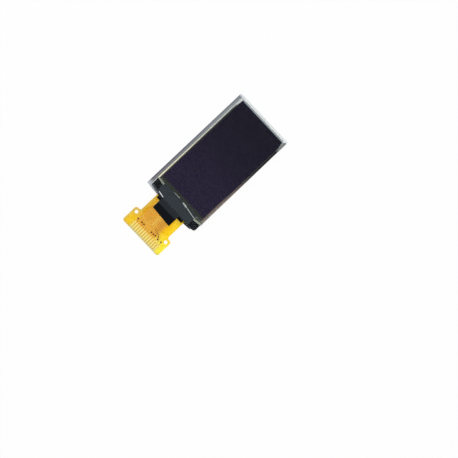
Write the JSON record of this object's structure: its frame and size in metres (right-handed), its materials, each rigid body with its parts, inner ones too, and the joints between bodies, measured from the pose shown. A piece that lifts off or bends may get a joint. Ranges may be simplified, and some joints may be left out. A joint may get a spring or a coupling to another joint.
{
  "type": "small oled module",
  "caption": "Small portrait glass OLED display module with a clear protective film, taped ledge and a solder-type flex tail.",
  "frame": {"origin": "centre of the cap glass's back face, which is the face that the module is mounted by", "axes": "+Z out of the display face, +Y along the glass away from the flex tail, +X to the right as the display is seen from the front with the tail down"},
  "size_m": [0.0154, 0.0392, 0.0015],
  "materials": {
    "substrate_glass": "polished, cut edges",
    "cap_glass": "polished, etched cavity",
    "seal": "cured resin",
    "bead": "matt paste",
    "electrode": "evaporated metal film",
    "organic": "evaporated film",
    "ledge_trace": "sputtered film",
    "polariser": "glossy dark film",
    "protective_film": "clear film",
    "chip": "bare silicon",
    "bond_film": "filled resin film",
    "polyimide": "translucent amber film",
    "foil": "etched copper",
    "coverlay": "translucent amber film",
    "gold_contact": "gold plated",
    "front_tape": "satin black film",
    "rear_tape": "glossy black film",
    "sealant": "cured black gel"
  },
  "bodies": {
    "root": {"substrate_glass": "substrate_glass", "cap_glass": "cap_glass", "seal_frame": "seal", "desiccant_bead": "bead", "anode_lines": "electrode", "organic_layer": "organic", "cathode_strips": "electrode", "ledge_traces": "ledge_trace", "polariser": "polariser", "protective_film": "protective_film", "driver_chip": "chip", "chip_bond_film": "bond_film", "flex_bond_film": "bond_film", "flex_base": "polyimide", "front_foil": "foil", "back_foil": "foil", "via_posts": "foil", "front_coverlay": "coverlay", "back_coverlay": "coverlay", "front_tape": "front_tape", "rear_tape": "rear_tape", "root_sealant": "sealant", "contact_1": "gold_contact", "contact_2": "gold_contact", "contact_3": "gold_contact", "contact_4": "gold_contact", "contact_5": "gold_contact", "contact_6": "gold_contact", "contact_7": "gold_contact", "contact_8": "gold_contact", "contact_9": "gold_contact", "contact_10": "gold_contact", "contact_11": "gold_contact", "contact_12": "gold_contact", "contact_13": "gold_contact"}
  },
  "joints": []
}
